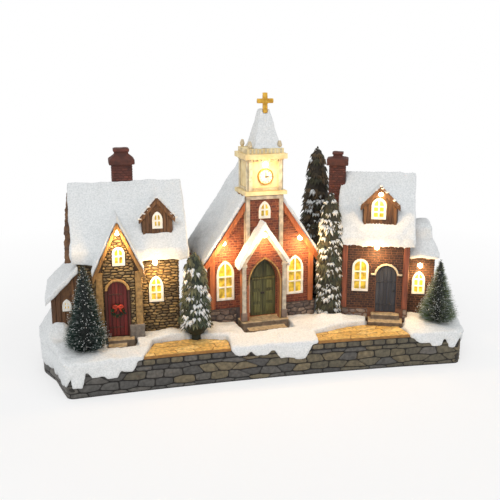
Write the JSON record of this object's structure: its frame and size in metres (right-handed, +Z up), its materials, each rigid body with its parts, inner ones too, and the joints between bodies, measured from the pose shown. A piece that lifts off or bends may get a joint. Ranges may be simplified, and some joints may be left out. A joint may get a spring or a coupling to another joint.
{
  "type": "lit christmas village scene",
  "caption": "Snowy village scene on a stone-faced base: cottage, church with clock tower, townhouse and trees, lit by small lamps from a battery box underneath.",
  "frame": {"origin": "middle of the underside, on the surface the scene stands on", "axes": "+X to the right along the scene, +Y towards the back, +Z up; the fronts face -Y"},
  "size_m": [0.308, 0.1142, 0.1868],
  "materials": {
    "base_stone": "matt paint",
    "black_plastic": "matt",
    "screw_steel": "satin",
    "soft_rubber": "matt",
    "cell_jacket": "gloss",
    "contact_metal": "satin",
    "slider_plastic": "matt",
    "board_green": "satin",
    "wire_jacket": "matt",
    "lamp_glow": "gloss",
    "paving_ochre": "matt paint",
    "snow": "matt paint with fine sparkle",
    "cottage_stone": "matt paint",
    "roof_brown": "matt paint",
    "chimney_brick": "matt paint",
    "door_red": "satin paint",
    "timber_ochre": "matt paint",
    "wreath_green": "matt paint",
    "bow_red": "satin paint",
    "step_grey": "matt paint",
    "timber_dark": "matt paint",
    "church_brick": "matt paint",
    "plinth_grey": "matt paint",
    "timber_orange": "matt paint",
    "cream_paint": "matt paint",
    "clock_white": "satin paint",
    "dark_paint": "matt paint",
    "gold_paint": "satin metallic paint",
    "door_green": "satin paint",
    "townhouse_brick": "matt paint",
    "door_blue": "satin paint",
    "frame_white": "satin paint",
    "pane_yellow": "gloss paint",
    "fir_green": "matt paint",
    "brush_green": "bristle with white flock",
    "stem_wire": "dull"
  },
  "bodies": {
    "village": {"base_casting": "base_stone", "base_plate": "black_plastic", "base_plate_screws": "screw_steel", "battery_box": "black_plastic", "battery_cells": "cell_jacket", "battery_contacts": "contact_metal", "belfry_finials": "cream_paint", "brush_tree_stems": "stem_wire", "brush_trees": "brush_green", "church_belfry": "cream_paint", "church_corner_posts": "timber_orange", "church_door": "door_green", "church_plinth": "plinth_grey", "church_porch": "cream_paint", "church_porch_snow": "snow", "church_roof": "timber_orange", "church_roof_snow": "snow", "church_spire": "snow", "church_steps": "step_grey", "church_tower": "church_brick", "church_walls": "church_brick", "clock_face": "clock_white", "clock_hands": "dark_paint", "control_board": "board_green", "cottage_annex": "timber_dark", "cottage_annex_roof": "snow", "cottage_chimney": "chimney_brick", "cottage_door": "door_red", "cottage_door_arch": "timber_ochre", "cottage_dormer": "cottage_stone", "cottage_posts": "timber_ochre", "cottage_roof": "roof_brown", "cottage_roof_snow": "snow", "cottage_steps": "step_grey", "cottage_walls": "cottage_stone", "door_wreath": "wreath_green", "fir_trees": "fir_green", "foot_pads": "soft_rubber", "ground_snow": "snow", "lamps": "lamp_glow", "paving": "paving_ochre", "spire_cross": "gold_paint", "switch_body": "black_plastic", "townhouse_annex": "townhouse_brick", "townhouse_annex_snow": "snow", "townhouse_chimney": "chimney_brick", "townhouse_door": "door_blue", "townhouse_door_hood": "cream_paint", "townhouse_dormer": "timber_orange", "townhouse_posts": "timber_dark", "townhouse_roof": "roof_brown", "townhouse_roof_snow": "snow", "townhouse_steps": "step_grey", "townhouse_walls": "townhouse_brick", "window_frames": "frame_white", "window_panes": "pane_yellow", "wire_harness": "wire_jacket", "wreath_bow": "bow_red"},
    "battery_cover": {"battery_cover": "black_plastic"},
    "switch_slider": {"switch_slider": "slider_plastic"}
  },
  "joints": [
    {"name": "battery_cover_hinge", "type": "hinge", "parent": "village", "child": "battery_cover", "pos_m": [0.0915, 0.0375, 0.0035], "axis": [1, 0, 0], "range_deg": [0, 95]},
    {"name": "switch_slide", "type": "slide", "parent": "village", "child": "switch_slider", "axis": [1, 0, 0], "range_m": [0, 0.004]}
  ]
}
